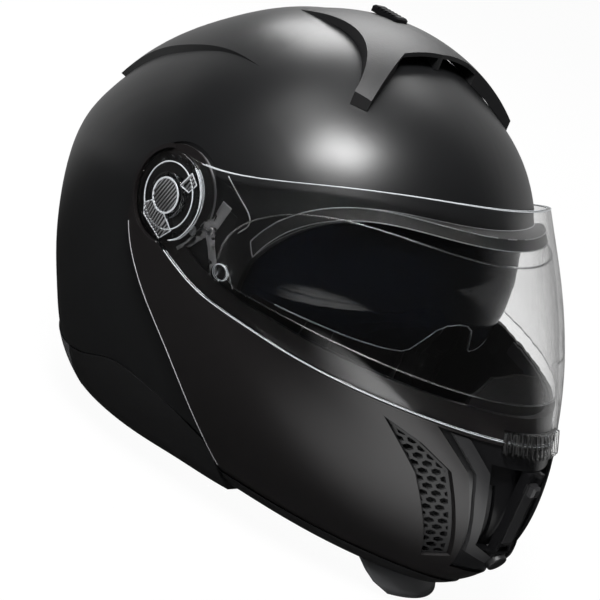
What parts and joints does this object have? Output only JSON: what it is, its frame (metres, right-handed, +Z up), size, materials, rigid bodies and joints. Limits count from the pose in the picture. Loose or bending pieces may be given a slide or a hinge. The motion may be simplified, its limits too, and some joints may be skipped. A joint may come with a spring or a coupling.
{
  "type": "modular motorcycle helmet",
  "caption": "Flip up road helmet whose chin bar and clear visor swing up about two side hinges, with a drop down sun visor, vents, padding and a chin strap with a ratchet buckle.",
  "frame": {"origin": "middle of the bounding box at the rim plane that the helmet stands on", "axes": "+Z up, -Y ahead of the wearer's face, +X towards the wearer's left"},
  "size_m": [0.252, 0.37, 0.2688],
  "materials": {
    "shell_paint": "matt lacquer",
    "black_trim": "fine grain",
    "band_plastic": "satin",
    "black_gloss": "gloss",
    "clear_lens": "clear moulded",
    "tinted_lens": "smoke tint",
    "soft_rubber": "matt",
    "grey_plastic": "moulded",
    "steel": "brushed",
    "foam": "bead foam",
    "pad_fabric": "knitted",
    "webbing": "woven"
  },
  "bodies": {
    "shell": {"outer_shell": "shell_paint", "rear_band": "band_plastic", "side_trim_left": "black_trim", "side_trim_right": "black_trim", "exhaust_cover": "black_trim", "top_vent_cover": "black_gloss", "eyeport_seal": "soft_rubber", "eps_liner": "foam", "crown_pad": "pad_fabric", "neck_roll": "pad_fabric", "chin_strap_left": "webbing", "chin_strap_right": "webbing", "buckle_body": "steel", "buckle_tongue": "grey_plastic", "base_plate_left": "grey_plastic", "base_plate_right": "grey_plastic", "pivot_cap_left": "clear_lens", "pivot_cap_right": "clear_lens", "side_bracket_left": "grey_plastic", "side_bracket_right": "grey_plastic", "striker_left": "steel", "striker_right": "steel", "sun_visor_pin_left": "steel", "sun_visor_pin_right": "steel", "eps_cheek_left": "foam", "eps_cheek_right": "foam", "cheek_pad_left": "pad_fabric", "cheek_pad_right": "pad_fabric", "strap_anchor_left": "steel", "strap_anchor_right": "steel"},
    "chin": {"chin_bar": "shell_paint", "chin_trim": "black_trim", "chin_curtain": "soft_rubber", "chin_foam": "foam", "breath_guard": "soft_rubber", "demist_strip": "black_trim", "intake_panel": "black_gloss", "side_grille_left": "black_trim", "side_grille_right": "black_trim", "mouth_trim_left": "black_gloss", "mouth_trim_right": "black_gloss", "arm_screw_left": "steel", "arm_screw_right": "steel", "ratchet_left": "grey_plastic", "ratchet_right": "grey_plastic"},
    "visor": {"visor": "clear_lens", "visor_tab": "clear_lens", "fog_lens": "clear_lens", "gear_left": "grey_plastic", "gear_right": "grey_plastic"},
    "fog_pin_left": {"fog_pin_left": "clear_lens"},
    "fog_pin_right": {"fog_pin_right": "clear_lens"},
    "sun_visor": {"sun_visor": "tinted_lens"},
    "sun_lever": {"sun_visor_lever": "black_trim"},
    "top_vent_slider": {"top_vent_knob": "black_gloss"},
    "chin_vent_slider": {"chin_vent_flap": "black_trim"},
    "release": {"release_button": "black_trim"},
    "hook_left": {"latch_hook_left": "steel"},
    "hook_right": {"latch_hook_right": "steel"},
    "lever": {"buckle_lever": "grey_plastic"}
  },
  "joints": [
    {"name": "chin_bar_lift", "type": "hinge", "parent": "shell", "child": "chin", "pos_m": [0, 0.02362, 0.1495], "axis": [-1, 0, 0], "range_deg": [0, 78]},
    {"name": "visor_lift", "type": "hinge", "parent": "chin", "child": "visor", "pos_m": [0, 0.02362, 0.1495], "axis": [-1, 0, 0], "range_deg": [0, 36]},
    {"name": "sun_visor_lift", "type": "hinge", "parent": "shell", "child": "sun_visor", "pos_m": [0, -0.00438, 0.142], "axis": [-1, 0, 0], "range_deg": [0, 50]},
    {"name": "sun_lever_slide", "type": "slide", "parent": "shell", "child": "sun_lever", "axis": [0, 1, 0], "range_m": [0, 0.0201]},
    {"name": "top_vent_slide", "type": "slide", "parent": "shell", "child": "top_vent_slider", "axis": [0, 1, 0], "range_m": [0, 0.007]},
    {"name": "chin_vent_slide", "type": "slide", "parent": "chin", "child": "chin_vent_slider", "axis": [0, 0, 1], "range_m": [0, 0.005]},
    {"name": "release_press", "type": "slide", "parent": "chin", "child": "release", "axis": [0, 0.9063, 0.4226], "range_m": [0, 0.004], "stiffness_N_per_m": 400},
    {"name": "hook_turn_left", "type": "hinge", "parent": "chin", "child": "hook_left", "pos_m": [0.0695, -0.06438, 0.034], "axis": [1, 0, 0], "range_deg": [0, 12.1]},
    {"name": "hook_turn_right", "type": "hinge", "parent": "chin", "child": "hook_right", "pos_m": [-0.0695, -0.06438, 0.034], "axis": [1, 0, 0], "range_deg": [0, 12.1]},
    {"name": "buckle_lever_lift", "type": "hinge", "parent": "shell", "child": "lever", "pos_m": [0.06817, 0.04962, 0.03343], "axis": [0, -1, 0], "range_deg": [0, 55]},
    {"name": "fog_pin_turn_left", "type": "hinge", "parent": "visor", "child": "fog_pin_left", "pos_m": [0.119, -0.02538, 0.129], "axis": [0.9563, -0.2924, 0], "range_deg": [0, 180]},
    {"name": "fog_pin_turn_right", "type": "hinge", "parent": "visor", "child": "fog_pin_right", "pos_m": [-0.119, -0.02538, 0.129], "axis": [-0.9563, -0.2924, 0], "range_deg": [0, 180]}
  ],
  "couplings": [
    {"joint": "sun_lever_slide", "follows": "sun_visor_lift", "m_per_rad": 0.022918},
    {"joint": "hook_turn_left", "follows": "release_press", "rad_per_m": 52.36},
    {"joint": "hook_turn_right", "follows": "release_press", "rad_per_m": 52.36}
  ]
}
